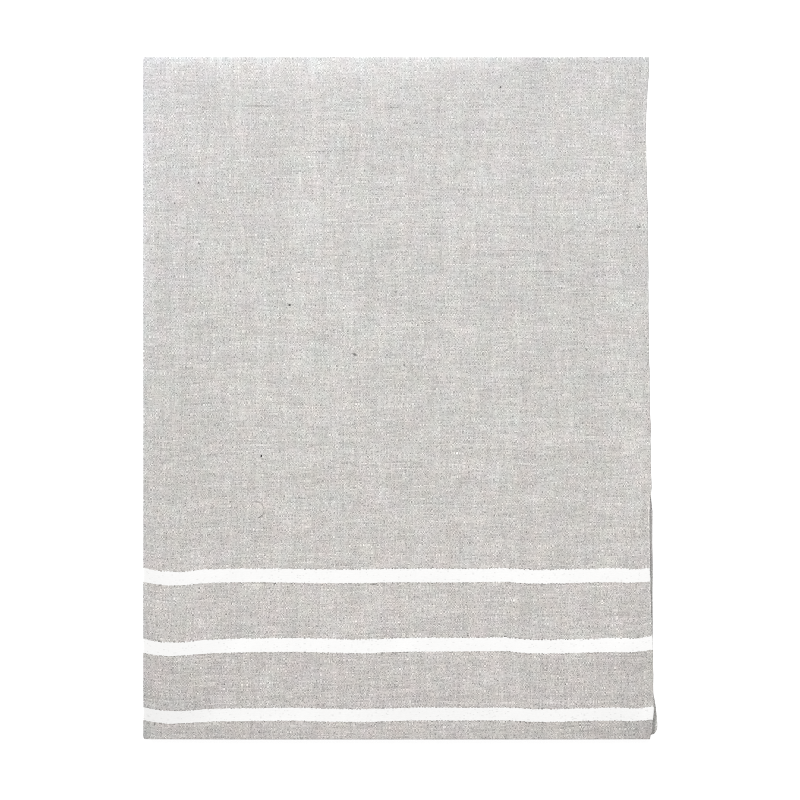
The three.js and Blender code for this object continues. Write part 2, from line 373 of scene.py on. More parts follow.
# Painted light and shade on the front, with some real tone: darker at the striped end's corners, along its hem and in
# the crease of the fold, lighter along the upper fold, and lighter or darker places elsewhere.
TONE_AND_SHADE_PLACES = [
    # x       y       wide   long   tone
    (-216.0, -260.0, 50.0, 48.0, -0.085),    # striped end, fold corner
    (226.0, -255.0, 30.0, 60.0, -0.060),     # striped end, open corner
    (140.0, -294.0, 100.0, 11.0, -0.080),    # and along the hem
    (218.0, -296.0, 50.0, 11.0, -0.070),
    (-190.0, -296.0, 70.0, 9.0, -0.040),
    (0.0, -303.0, 260.0, 3.2, 0.050),
    (0.0, -137.0, 240.0, 9.0, 0.013),
    (-227.5, -230.0, 2.6, 180.0, -0.060),    # the crease of the fold
    (30.0, -195.0, 190.0, 26.0, 0.014),      # between the first two bands
    (112.0, -199.0, 50.0, 22.0, 0.045),
    (-196.0, 20.0, 36.0, 80.0, -0.045),      # by the lengthwise fold
    (-185.0, -90.0, 30.0, 40.0, -0.050),
    (-214.0, 232.0, 20.0, 52.0, 0.050),
    (-114.0, 232.0, 22.0, 72.0, -0.058),     # left of the old crease
    (-76.0, 190.0, 15.0, 100.0, 0.012),      # and right of it
    (-103.0, 180.0, 7.5, 125.0, -0.022),
    (-87.5, 185.0, 7.5, 125.0, 0.028),
    (18.0, 232.0, 48.0, 40.0, -0.042),       # middle, under the upper fold
    (209.0, 250.0, 5.0, 50.0, -0.035),       # by the open side
    (114.0, 76.0, 52.0, 24.0, -0.055),       # right of the middle
    (212.0, -60.0, 22.0, 66.0, 0.090),       # by the open side
    (186.0, 186.0, 20.0, 22.0, 0.050),
    (110.0, -90.0, 80.0, 60.0, 0.018),
    (60.0, 118.0, 170.0, 17.0, -0.034),      # across the middle
    (40.0, 254.0, 220.0, 14.0, -0.010),
    (-176.0, 166.0, 36.0, 20.0, -0.042),
    (-68.0, -26.0, 26.0, 26.0, 0.038),
    (-2.0, -18.0, 25.0, 24.0, -0.040),
    (128.0, 285.0, 78.0, 15.0, -0.068),      # upper fold, right
    (175.0, 301.0, 60.0, 4.0, -0.050),
    (172.0, 282.0, 45.0, 5.5, 0.034),
    (-80.0, 285.0, 140.0, 17.0, 0.040),      # and left
    (20.0, 300.0, 140.0, 4.6, 0.066),
    (-160.0, 300.0, 50.0, 4.6, 0.080),
    (-207.0, 287.0, 26.0, 12.0, -0.034),
    (-226.0, 190.0, 5.0, 110.0, 0.018),
]


# Painted light on what shows of the middle panel's upper layer past the front, lightening its shade: y, then how much
# lighter.
STRIP_PAINTED_LIGHT = [(-300.0, 0.06), (-292.0, 0.20), (-284.0, 0.26), (-277.0, 0.30), (-271.0, 0.40), (-264.0, 0.44),
              (-245.0, 0.10), (-200.0, 0.04), (-172.0, 0.08), (-150.0, 0.24), (-115.0, 0.22), (-60.0, 0.0)]


def faded(x, y):
    """Where folding has rubbed the colour a little greyer, from 0 to 1."""
    right = smooth((x + 40) / 120)
    upper = np.exp(-(((y - UPPER_FOLD) / 6.2) ** 2)) * (0.70 - 0.04 * right) + 0.28 * np.exp(-(((y - UPPER_FOLD) / 42) ** 2))
    fold = np.exp(-(((x + 228.3) / 2.2) ** 2)) + 0.45 * np.exp(-(((x + 228) / 8) ** 2))
    open_side = 0.22 * np.exp(-(((x - 222) / 7) ** 2)) * smooth((y + 280) / 120)
    return np.minimum(upper + fold + open_side, 1)


def strip_painted_light(x, y):
    return curve(STRIP_PAINTED_LIGHT, 1, y) * smooth((x - 213) / 5)


def front_tone_and_shade(x, y):
    total = np.zeros(np.broadcast(x, y).shape)
    for sx, sy, wide_, long_, tone in TONE_AND_SHADE_PLACES:
        total = total + tone * np.exp(-(((x - sx) / wide_) ** 2) - ((y - sy) / long_) ** 2)
    return total


def layer(side):
    """The face (+1) or back (-1) skin of the whole cloth, or its middle (0)."""
    c, s = np.cos(HEMMED), np.sin(HEMMED)
    ty, tz, ny, nz = T[:, :1], T[:, 1:], N[:, :1], N[:, 1:]
    off = side * SKIN * c - HEM_TURN * (1 - c)
    x, h = X + off * EX, HH + off * EH
    out_ = bend - x
    grow = np.where(out_ > 0, squared(out_, h, 2.9), 1.0)
    x, h = np.where(out_ > 0, bend - out_ * grow, x), h * grow
    y = Y + h * ny + lift_y - END * s * (HEM_TURN + side * SKIN) * ty
    z = Z + h * nz - END * s * (HEM_TURN + side * SKIN) * tz
    for at, level, way in ((UPPER_FOLD - REACH, (FRONT_LEVEL + MIDDLE_LEVEL) / 2, 1), (LOWER_FOLD + REACH, (MIDDLE_LEVEL + BACK_LEVEL) / 2, -1)):
        past, up = way * (y - at), z - level
        power = 2.2 + 2.2 * smooth((x - 20) / 110) if way > 0 else 2.6
        grow = np.where((past > 0) & (np.abs(up) < REACH + 1) & (HEMMED < 0.01), squared(past, up, power), 1.0)
        y, z = np.where(past > 0, at + way * past * grow, y), np.where(past > 0, level + up * grow, z)
    front = smooth((length_front + 2.0 - ALONG) / 4.0) * (1 - IS_UNDER)
    z = z + front * relief(x, y) * smooth((UPPER_FOLD - y) / 14) * smooth((y - STRIPED_END + 2) / 8)
    z = z - SETTLE
    z = z - upper_drop(x, y) * (ALONG < so_far - 20) - 0.16 * smooth((-300.8 - y) / 2.4)
    y = y + (0.80 - 0.65 * smooth((x + 5) / 110)) * smooth((y - 291) / 11) + 0.18 * smooth((-297.5 - y) / 4.5)
    return np.stack([x, y, z * pressed(x, y)], -1)


outer, inner, middle = layer(1), layer(-1), layer(0)


def rim(c, sign):
    edge = middle[:, c].copy()
    edge[:, 0] += sign * rim_in
    return edge


loop = np.concatenate([outer, rim(columns - 1, 1)[:, None], inner[:, ::-1], rim(0, 1)[:, None]], 1)
around = loop.shape[1]
verts = loop.reshape(-1, 3) * MM


# ---------------------------------------------------------------------------
# Cloth coordinates: across from the lengthwise fold and along from the striped
# end, with the weft's own waviness, in metres.
# ---------------------------------------------------------------------------
PIXEL = 0.8876              # millimetres
# How far the weft runs towards the striped end at each place, for each band, in
# tenths of the band's place: x, then the band furthest from the end to the nearest.
WEFT_WAVE = [
    # x       far    mid    near
    (-227.9, -0.85, 0.50, -0.80),
    (-220.8, 0.80, 1.95, 0.85),
    (-213.7, 1.90, 3.10, 1.90),
    (-203.1, 2.70, 3.65, 2.85),
    (-192.4, 2.65, 3.20, 2.50),
    (-178.2, 1.15, 1.80, 1.60),
    (-163.1, 0.35, 0.95, 0.70),
    (-134.7, 0.00, 0.15, 0.30),
    (-92.1, 0.45, -0.30, -0.15),
    (-63.7, 0.85, 0.30, 0.80),
    (-35.3, 0.75, 0.90, 1.05),
    (-6.9, 0.15, -0.10, 0.30),
    (21.5, 0.10, -0.60, -0.40),
    (49.9, 0.25, -0.60, -0.25),
    (78.3, -0.10, -0.85, -0.25),
    (92.5, -0.35, -1.00, -0.35),
    (106.7, 0.60, 0.40, 0.20),
    (120.9, 1.20, 1.25, 1.00),
    (135.1, 1.00, 1.20, 1.05),
    (163.5, 0.40, 0.55, 0.20),
    (191.9, -0.10, -0.20, -0.20),
    (206.1, 0.50, 0.05, 0.45),
    (216.8, -0.05, -1.20, -0.15),
    (222.0, -0.40, -2.20, -1.00),
]
BANDS = [
    # from the end, width, whiteness, how mottled, how shaded by the fold
    (145.86, 12.2, 0.997, 1.20, 0.032),
    (83.9, 12.25, 1.018, 1.05, 0.042),
    (22.6, 11.4, 1.006, 1.55, 0.066),
]


def weft_wave(x, along):
    far, mid, near = (curve(WEFT_WAVE, c, x) for c in (1, 2, 3))
    a, b, c = (band[0] for band in BANDS)
    t = np.clip((along - c) / (b - c), 0, 1)
    s = np.clip((along - b) / (a - b), 0, 1)
    wave = np.where(along < b, near + (mid - near) * t, mid + (far - mid) * s)
    return wave * smooth(along / 14) * (1 - 0.7 * smooth((along - a) / 260))


x_like = np.where(IS_UNDER > 0.5, -2 * 227.9 - X, X)   # under the fold the weft carries on
x_like = np.clip(x_like, -227.9, 227.9)
V = ALONG + weft_wave(X, ALONG + 0 * X) * (1 - 0.6 * IS_UNDER)
V = np.where(HEMMED > 0.5, ALONG + 0 * X, V)


def around_loop(a, edge_a=None):
    return np.concatenate([a, a[:, -1:], a[:, ::-1], a[:, :1]], 1)


side_of = np.concatenate([np.ones_like(U), 0 * ones, -np.ones_like(U), 0 * ones], 1)
cloth_coords = np.stack([around_loop(U) * MM, around_loop(V) * MM, side_of], -1).reshape(-1, 3)

r = np.arange(n_rows - 1)[:, None]
k = np.arange(around)[None, :]
k2 = (k + 1) % around
quads = np.stack([r * around + k, (r + 1) * around + k, (r + 1) * around + k2, r * around + k2], -1).reshape(-1, 4)
last = (n_rows - 1) * around
caps = []
for j in range(columns - 1):
    a, b = j, j + 1
    c, d = around - 2 - (j + 1), around - 2 - j
    caps.append((a, b, c, d))
    caps.append((last + a, last + d, last + c, last + b))
tri_caps = [
    (0, around - 2, around - 1), (columns - 1, columns, columns + 1),
    (last + 0, last + around - 1, last + around - 2), (last + columns - 1, last + columns + 1, last + columns),
]
faces = [tuple(int(i) for i in f) for f in quads] + caps + tri_caps

mesh = bpy.data.meshes.new("towel_cloth")
mesh.from_pydata([tuple(map(float, v)) for v in verts], [], faces)
mesh.update()
mesh.polygons.foreach_set("use_smooth", np.ones(len(mesh.polygons), bool))
attr = mesh.attributes.new("cloth", "FLOAT_VECTOR", "POINT")
attr.data.foreach_set("vector", cloth_coords.astype(np.float32).ravel())

# A flat layout of the cloth: the front large, the underside smaller, and the
# layers in between narrow, but for their edges and folds.
path = np.concatenate([[0], np.cumsum(np.hypot(*np.diff(middle[:, n_face // 2, 1:], axis=0).T))])
hem_rows = 13
first_back = n_rows - 12
upper_mid = hem_rows + len(front_ys) + 5
lower_mid = int(np.argmin(np.abs(ALONG[:, 0] - (length_front + arc + length_middle + arc / 2))))
across = np.mean(np.abs(U), 0)
mid_col = n_face + n_bend // 2


def stretch(values, edges, wide_, narrow):
    """Lengthen where near one of the edges, shorten elsewhere; from 0 to 1."""
    mids = (values[1:] + values[:-1]) / 2
    near = np.min(np.abs(mids[:, None] - np.array(edges)[None, :]), 1) < 16
    size = np.abs(np.diff(values)) * np.where(near, wide_, narrow) + 1e-4
    at = np.concatenate([[0], np.cumsum(size)])
    return at / at[-1]


def fit(lo, hi, share):
    return (lo + (hi - lo) * share) / 1024


cols_all = np.arange(columns)
S_A = fit(3, 609, (across[0] + across[mid_col] * 0 - across[: mid_col + 1]) / (across[0] - across[mid_col]))
under_span = across[mid_col:] - across[mid_col]
S_B = fit(620, 1020, under_span / under_span[-1])
T_A = fit(3, 813, (path - path[hem_rows]) / (path[upper_mid] - path[hem_rows]))
T_B = fit(3, 520, (path - path[lower_mid]) / (path[first_back + 5] - path[lower_mid]))
S_face = stretch(across[: mid_col + 1], [0, across[0]], 1.0, 0.12)
S_under = stretch(across[mid_col:], [0, across[-1]], 1.0, 0.12)
S_inner = stretch(np.arange(columns) * 1.0, [0, mid_col, columns - 1], 1.0, 0.6)
T_rest = path / path[-1]
uv = np.zeros((n_rows - 1, around, 4, 2))
for rr in range(n_rows - 1):
    for kk in range(around):
        for corner, (dr, dk) in enumerate(((0, 0), (1, 0), (1, 1), (0, 1))):
            row, kx = rr + dr, kk + dk
            if kk < mid_col:
                if hem_rows <= rr < upper_mid:
                    w = S_A[kx], T_A[row]
                else:
                    w = fit(620, 740, S_face[kx]), fit(530, 1020, T_rest[row])
            elif kk < columns - 1:
                if lower_mid <= rr < first_back + 5:
                    w = S_B[kx - mid_col], T_B[row]
                else:
                    w = fit(746, 866, S_under[kx - mid_col]), fit(530, 1020, T_rest[row])
            elif kk in (columns - 1, columns):
                w = fit(1000, 1006, (kx - columns + 1) / 2), fit(530, 1020, T_rest[row])
            elif kk >= around - 2:
                w = fit(1012, 1018, (kx - around + 2) / 2), fit(530, 1020, T_rest[row])
            else:
                w = fit(872, 994, S_inner[kx - columns - 1]), fit(530, 1020, T_rest[row])
            uv[rr, kk, corner] = w
cap_uv = []
for j in range(columns - 1):
    x0, x1 = fit(6, 600, j / (columns - 1)), fit(6, 600, (j + 1) / (columns - 1))
    cap_uv += [[(x0, 840 / 1024), (x1, 840 / 1024), (x1, 852 / 1024), (x0, 852 / 1024)]]
    cap_uv += [[(x0, 870 / 1024), (x0, 882 / 1024), (x1, 882 / 1024), (x1, 870 / 1024)]]
tri_uv = [[(x / 1024, 900 / 1024), ((x + 20) / 1024, 900 / 1024), (x / 1024, 920 / 1024)] for x in (6, 40, 80, 120)]
flat_uv = np.concatenate([uv.reshape(-1, 2), np.array(cap_uv).reshape(-1, 2), np.array(tri_uv).reshape(-1, 2)])
edge_mm = around_loop(np.concatenate([(1 - SHARE[:, : n_face + n_bend]) * wide, (1 - SHARE[:, n_face + n_bend :]) * wide], 1))
on_front = (ALONG < length_front + 2) & (IS_UNDER < 0.5)
on_strip = (ALONG > length_front + arc) & (ALONG < so_far - arc) & (IS_UNDER > 0.5)
# Painted light and shade, with some real tone, on the front and on the strip that shows past it.
shade_and_tone = front_tone_and_shade(outer[..., 0], outer[..., 1]) * on_front + strip_painted_light(outer[..., 0], outer[..., 1]) * on_strip
hint = np.stack([edge_mm, around_loop(shade_and_tone), around_loop(faded(outer[..., 0], outer[..., 1]) * on_front)], -1)
extra = mesh.attributes.new("wear_and_shade", "FLOAT_VECTOR", "POINT")
extra.data.foreach_set("vector", hint.reshape(-1).astype(np.float32))
layer_uv = mesh.uv_layers.new(name="OFBake")
layer_uv.data.foreach_set("uv", flat_uv.astype(np.float32).ravel())

towel = bpy.data.objects.new("towel_cloth", mesh)
bpy.context.scene.collection.objects.link(towel)


# ---------------------------------------------------------------------------
# Linen
# ---------------------------------------------------------------------------
WARP_TONE = 1.0
WEFT_TONE = 1.26
KNOT_TONE = 0.40
CROSS_TONE = 3.0
CLOUD_TONE = 0.22
STREAK_TONE = 0.16
PAIR_TONE = 1.35
PORE_SHADE = 0.63
FLAX_COOL = (0.5410, 0.5310, 0.5165, 1)
FLAX_WARM = (0.5470, 0.5240, 0.5045, 1)
PINKER = (1.018, 0.986, 1.002, 1)
GREENER = (0.984, 1.013, 0.996, 1)
WARMER = (1.011, 1.000, 0.982, 1)
COOLER = (0.989, 1.000, 1.018, 1)
FADED = (0.980, 1.000, 1.026, 1)
UNDYED = (0.999, 1.0075, 0.999, 1)     # a shade greener halfway along the front
BLUER = (0.988, 0.987, 1.013, 1)       # and bluer at the fold's upper end
BAND_WHITE = (0.872, 0.870, 0.862, 1)
BAND_SHADE = (0.840, 0.838, 0.829, 1)


class Tree:
    """Short names for the nodes of one material."""

    def __init__(self, name):
        self.material = bpy.data.materials.new(name)
        self.material.use_nodes = True
        self.nt = self.material.node_tree
        self.nt.nodes.clear()

    def node(self, kind, **props):
        n = self.nt.nodes.new(kind)
        for key, value in props.items():
            setattr(n, key, value)
        return n

    def put(self, socket, value):
        if isinstance(value, bpy.types.NodeSocket):
            self.nt.links.new(value, socket)
        elif value is not None:
            socket.default_value = value

    def math(self, op, a, b=None, c=None, clamp=False):
        n = self.node("ShaderNodeMath", operation=op, use_clamp=clamp)
        for socket, value in zip(n.inputs, (a, b, c)):
            self.put(socket, value)
        return n.outputs[0]

    def add(self, a, b): return self.math("ADD", a, b)
    def sub(self, a, b): return self.math("SUBTRACT", a, b)
    def mul(self, a, b): return self.math("MULTIPLY", a, b)
    def div(self, a, b): return self.math("DIVIDE", a, b)

    def vector(self, x=0.0, y=0.0, z=0.0):
        n = self.node("ShaderNodeCombineXYZ")
        for socket, value in zip(n.inputs, (x, y, z)):
            self.put(socket, value)
        return n.outputs[0]

    def ramp(self, value, low, high, to_low=0.0, to_high=1.0, kind="LINEAR"):
        n = self.node("ShaderNodeMapRange", interpolation_type=kind)
        for socket, v in zip(n.inputs[:5], (value, low, high, to_low, to_high)):
            self.put(socket, v)
        return n.outputs[0]

    def noise(self, where, scale=1.0, detail=0.0, rough=0.5):
        n = self.node("ShaderNodeTexNoise", noise_dimensions="3D")
        self.put(n.inputs["Vector"], where)
        n.inputs["Scale"].default_value = scale
        n.inputs["Detail"].default_value = detail
        n.inputs["Roughness"].default_value = rough
        return n.outputs["Fac"]

    def dice(self, where):
        n = self.node("ShaderNodeTexWhiteNoise", noise_dimensions="3D")
        self.put(n.inputs["Vector"], where)
        return n.outputs["Value"]

    def mix(self, factor, a, b):
        n = self.node("ShaderNodeMix", data_type="FLOAT")
        self.put(n.inputs[0], factor)
        self.put(n.inputs[2], a)
        self.put(n.inputs[3], b)
        return n.outputs[0]

    def blend(self, factor, a, b, how="MIX"):
        n = self.node("ShaderNodeMix", data_type="RGBA", blend_type=how)
        self.put(n.inputs[0], factor)
        self.put(n.inputs[6], a)
        self.put(n.inputs[7], b)
        return n.outputs[2]


END_PITCH = 1.30            # millimetres from one warp thread to the next
PICK_PITCH = 1.50           # and from one weft thread to the next

# Knots, neps and thick places in the yarn: where across and along the front
# (as x and y), half length and half width, lean in degrees, and how dark.
SLUBS = [
    # x       y       half   thin   lean    dark
    (-39.9, 39.2, 2.3, 1.15, -30.0, 0.60),
    (-123.0, -51.1, 0.72, 1.2, 0.0, 1.00),
    (-97.8, 82.9, 1.2, 0.95, 0.0, 0.85),
    (-3.5, 94.4, 1.5, 0.6, 0.0, 0.55),
    (165.8, 43.1, 1.1, 0.9, 0.0, 0.55),
    (-141.2, 94.7, 1.0, 0.9, 0.0, 0.50),
    (89.8, 275.8, 0.8, 1.05, 0.0, 0.80),
    (4.1, 29.6, 1.0, 1.3, 0.0, 0.45),
    (-178.2, 191.6, 0.75, 1.05, 0.0, 0.70),
    (166.2, -56.8, 1.4, 0.8, 0.0, 0.40),
    (212.0, 152.1, 1.2, 0.6, 0.0, 0.75),
    (-199.5, 173.9, 0.7, 1.0, 0.0, 0.60),
    (-30.9, 202.2, 0.7, 1.0, 0.0, 0.55),
    (-150.3, -91.6, 1.0, 0.8, 0.0, 0.50),
    (-183.2, -214.0, 2.6, 0.8, 0.0, 0.45),
    (-23.2, -164.5, 1.9, 1.0, 0.0, 0.50),
    (-110.9, -163.7, 1.3, 0.9, 0.0, 0.65),
    (-217.3, -288.1, 0.6, 1.3, 0.0, 0.65),
    (-125.0, 259.4, 16.0, 0.65, 0.0, 0.48),
    (-74.0, 219.3, 11.0, 0.60, 0.0, 0.36),
    (-5.1, 257.8, 7.5, 0.5, 0.0, 0.34),
    (100.0, 131.1, 18.0, 0.5, 0.0, 0.30),
    (125.9, 113.0, 19.0, 0.5, 0.0, 0.30),
    (-188.0, -273.0, 1.6, 0.5, 25.0, 0.30),
]
HAIR = (-128.0, -98.9, 7.4, 0.40, 0.50)    # loose fibre: middle, radius, thickness, dark

t = Tree("linen_weave")
source = t.node("ShaderNodeAttribute", attribute_type="GEOMETRY", attribute_name="cloth")
split = t.node("ShaderNodeSeparateXYZ")
t.nt.links.new(source.outputs["Vector"], split.inputs[0])
wear_and_shade = t.node("ShaderNodeAttribute", attribute_type="GEOMETRY", attribute_name="wear_and_shade")
wear_and_shade_parts = t.node("ShaderNodeSeparateXYZ")
t.nt.links.new(wear_and_shade.outputs["Vector"], wear_and_shade_parts.inputs[0])
from_edge, painted_shade_and_tone = wear_and_shade_parts.outputs[0], wear_and_shade_parts.outputs[1]
u_mm, v_mm, facing = t.mul(split.outputs[0], 1000.0), t.mul(split.outputs[1], 1000.0), split.outputs[2]


def centred(value):
    return t.sub(value, 0.5)


# Threads, not quite straight and not quite even.
sway_u = centred(t.noise(t.vector(t.mul(u_mm, 0.30), t.mul(v_mm, 0.05), 3.1)))
sway_v = centred(t.noise(t.vector(t.mul(u_mm, 0.05), t.mul(v_mm, 0.30), 8.7)))
ends = t.add(t.div(u_mm, END_PITCH), t.mul(sway_u, 1.7))
picks = t.add(t.div(v_mm, PICK_PITCH), t.mul(sway_v, 1.7))
i, j = t.math("FLOOR", ends), t.math("FLOOR", picks)
lean_u = t.mul(centred(t.dice(t.vector(i, 0.5, 41.0))), 0.7)
lean_v = t.mul(centred(t.dice(t.vector(0.5, j, 43.0))), 0.7)
fu = t.math("MINIMUM", t.math("MAXIMUM", t.add(centred(t.sub(ends, i)), lean_u), -0.5), 0.5)
fv = t.math("MINIMUM", t.math("MAXIMUM", t.add(centred(t.sub(picks, j)), lean_v), -0.5), 0.5)
warp_up = t.math("MODULO", t.math("ABSOLUTE", t.add(i, j)), 2.0)
odd_end = t.math("MODULO", t.math("ABSOLUTE", i), 2.0)
odd_pick = t.math("MODULO", t.math("ABSOLUTE", j), 2.0)

# Yarn spun from light and dark flax: its tone runs along each thread, and each
# crossing differs from the next.
warp_shade = t.add(
    t.mul(centred(t.noise(t.vector(t.mul(i, 7.31), t.mul(v_mm, 0.05), 1.7), 1.0, 1.0, 0.6)), WARP_TONE),
    t.mul(centred(t.dice(t.vector(i, 0.5, 11.0))), 0.05),
)
weft_shade = t.add(
    t.mul(centred(t.noise(t.vector(t.mul(u_mm, 0.05), t.mul(j, 6.17), 5.3), 1.0, 1.0, 0.6)), WEFT_TONE),
    t.mul(centred(t.dice(t.vector(0.5, j, 17.0))), 0.12),
)
# Every other pick lies a shade lighter for a stretch.
pairs = t.mul(centred(odd_pick), centred(t.noise(t.vector(t.mul(u_mm, 0.09), t.mul(v_mm, 0.25), 15.2))))
weft_shade = t.add(weft_shade, t.mul(pairs, PAIR_TONE))
shade = t.add(
    t.mul(t.mix(warp_up, weft_shade, warp_shade), 0.75),
    t.mul(t.add(warp_shade, weft_shade), 0.25),
)
shade = t.add(shade, t.mul(centred(t.dice(t.vector(i, j, 23.0))), KNOT_TONE))
contrast = t.mul(centred(t.noise(t.vector(t.mul(u_mm, 0.30), t.mul(v_mm, 0.30), 6.4))), CROSS_TONE)
shade = t.add(shade, t.mul(centred(warp_up), contrast))

# Wider, softer changes of tone in the piece, and long streaks of either thread.
cloud = centred(t.noise(t.vector(t.mul(u_mm, 0.03), t.mul(v_mm, 0.024), 2.0), 1.0, 1.0, 0.55))
shade = t.add(shade, t.mul(cloud, CLOUD_TONE))
streaks = t.add(
    t.mul(centred(t.noise(t.vector(t.mul(u_mm, 0.12), t.mul(v_mm, 0.004), 21.0))), 1.3),
    centred(t.noise(t.vector(t.mul(u_mm, 0.004), t.mul(v_mm, 0.075), 24.0))),
)
shade = t.add(shade, t.mul(streaks, STREAK_TONE))

# The thread's round back, a painted glint on the crown of the odd thread, and painted shade in the unevenly open corner
# between four threads.
round_u = t.math("COSINE", t.mul(fu, math.pi))
round_v = t.math("COSINE", t.mul(fv, math.pi))
crown = t.mix(warp_up, t.mul(round_v, t.add(0.5, t.mul(round_u, 0.5))), t.mul(round_u, t.add(0.5, t.mul(round_v, 0.5))))
ci, cj = t.math("FLOOR", t.add(ends, 0.5)), t.math("FLOOR", t.add(picks, 0.5))
gu = t.add(t.sub(ends, ci), t.mul(centred(t.dice(t.vector(ci, cj, 51.0))), 0.6))
gv = t.add(t.sub(picks, cj), t.mul(centred(t.dice(t.vector(ci, cj, 53.0))), 0.6))
away = t.math("SQRT", t.add(t.mul(gu, gu), t.mul(gv, gv)))
open_ = t.ramp(t.dice(t.vector(ci, cj, 31.0)), 0.45, 1.0)
pore = t.mul(t.ramp(away, 0.18, 0.36, 1.0, 0.0), open_)
glint = t.mul(t.ramp(t.dice(t.vector(i, j, 37.0)), 0.6, 1.0), crown)
# Painted light: the grain's contrast and pore shade are lowered towards the upper fold, where the light falls brighter,
# and more on the left of the fold's bright band.
x_at = t.sub(t.mul(u_mm, -1.0), 228.0)
y_at = t.sub(v_mm, 303.0)
on_face = t.ramp(x_at, -232.0, -228.5)
lit_fold_left = t.mul(t.mul(on_face, t.ramp(x_at, 60.0, 130.0, 1.0, 0.0)), t.ramp(v_mm, 550.0, 590.0, 0.0, 0.10))
even = t.mul(t.ramp(v_mm, 0.0, 600.0, 0.94, 0.79), t.sub(1.0, lit_fold_left))
tone = t.mul(
    t.mul(t.math("EXPONENT", t.mul(shade, t.mul(even, 0.580))), t.sub(1.0, t.mul(pore, t.mul(even, PORE_SHADE)))),
    t.add(1.0, t.mul(glint, 0.06)),
)

# Painted light and shade, with some real tone, from the places listed for the front and the strip.
tone = t.mul(tone, t.add(1.0, painted_shade_and_tone))

# Painted highlight: beside the strip that shows past it, the open edge's outermost threads are lightened as if they
# caught the light.
edge_highlight = t.mul(t.ramp(from_edge, 0.4, 1.5, 1.0, 0.0), t.ramp(t.math("ABSOLUTE", t.sub(v_mm, 160.0)), 45.0, 65.0, 1.0, 0.0))
tone = t.mul(tone, t.add(1.0, t.mul(edge_highlight, 0.27)))

# Slubs and the loose fibre, on the front only.
for sx, sy, half, thin, lean, dark in SLUBS:
    c, s_ = math.cos(math.radians(lean)), math.sin(math.radians(lean))
    dx, dy = t.sub(x_at, sx), t.sub(y_at, sy)
    along_, over = t.add(t.mul(dx, c / half), t.mul(dy, s_ / half)), t.add(t.mul(dx, -s_ / thin), t.mul(dy, c / thin))
    spot = t.ramp(t.add(t.mul(along_, along_), t.mul(over, over)), 0.35, 1.5, 1.0, 0.0)
    if half > 5:                       # a dark thread shows only where it lies on top
        spot = t.mul(spot, t.sub(1.0, t.mul(warp_up, 0.6)))
    tone = t.mul(tone, t.sub(1.0, t.mul(spot, dark)))
hx, hy, radius, thin, dark = HAIR
dx, dy = t.sub(x_at, hx), t.sub(y_at, hy)
ring = t.math("ABSOLUTE", t.sub(t.math("SQRT", t.add(t.mul(dx, dx), t.mul(dy, dy))), radius))
fibre = t.mul(t.ramp(ring, thin, thin * 1.8, 1.0, 0.0), t.ramp(t.add(dx, t.mul(dy, 0.45)), -1.6, -0.4))
fibre = t.mul(fibre, t.ramp(dy, -3.5, -5.5, 0.5, 1.0))
tone = t.mul(tone, t.sub(1.0, t.mul(fibre, dark)))

# Three white weft-faced bands, whose edges step from one warp thread to the next.
rough_edge = t.add(t.mul(centred(odd_end), 0.45), t.mul(centred(t.dice(t.vector(i, 3.0, 29.0))), 0.95))
band = None
beside = None
whiteness = None
mottle = None
# Painted shade and light on the bands: darker towards the lengthwise fold, lighter towards the open side.
by_fold = t.ramp(x_at, -226.0, -125.0, 1.0, 0.0, kind="SMOOTHSTEP")
by_edge = t.ramp(x_at, 20.0, 150.0, 0.0, 0.024, kind="SMOOTHSTEP")
for n, (place, width, bright, uneven, dim) in enumerate(BANDS):
    off = t.sub(v_mm, place)
    ragged = t.mul(rough_edge, t.ramp(off, -1.0, 1.0, 0.55, 1.0 if n < 2 else 0.7))
    past = t.sub(t.add(t.math("ABSOLUTE", off), ragged), width / 2)
    inside = t.ramp(past, -0.08, 0.08, 1.0, 0.0)
    line = t.mul(t.ramp(past, 0.0, 0.2), t.ramp(past, 0.8, 1.4, 1.0, 0.0))
    band = inside if band is None else t.math("MAXIMUM", band, inside)
    lit = t.mul(inside, t.add(t.sub(bright, t.mul(by_fold, dim)), by_edge))
    whiteness = lit if whiteness is None else t.math("MAXIMUM", whiteness, lit)
    spread = t.mul(inside, uneven * 0.085)
    mottle = spread if mottle is None else t.math("MAXIMUM", mottle, spread)
    beside = line if beside is None else t.math("MAXIMUM", beside, line)
stain = t.mul(beside, t.ramp(t.dice(t.vector(i, 7.0, 61.0)), 0.72, 1.0, 0.0, 0.5))
tone = t.mul(tone, t.sub(1.0, stain))
rib = t.math("ABSOLUTE", t.math("COSINE", t.mul(v_mm, math.pi / 0.62)))
white_grain = t.noise(t.vector(t.mul(u_mm, 0.30), t.mul(v_mm, 0.75), 4.0), 1.0, 3.0, 0.65)
fleck = t.ramp(t.dice(t.vector(i, t.math("FLOOR", t.div(v_mm, 0.9)), 67.0)), 0.94, 1.0, 0.0, 0.14)
white_tone = t.mul(t.mul(whiteness, t.add(1.0, t.mul(centred(white_grain), mottle))), t.sub(1.0, fleck))

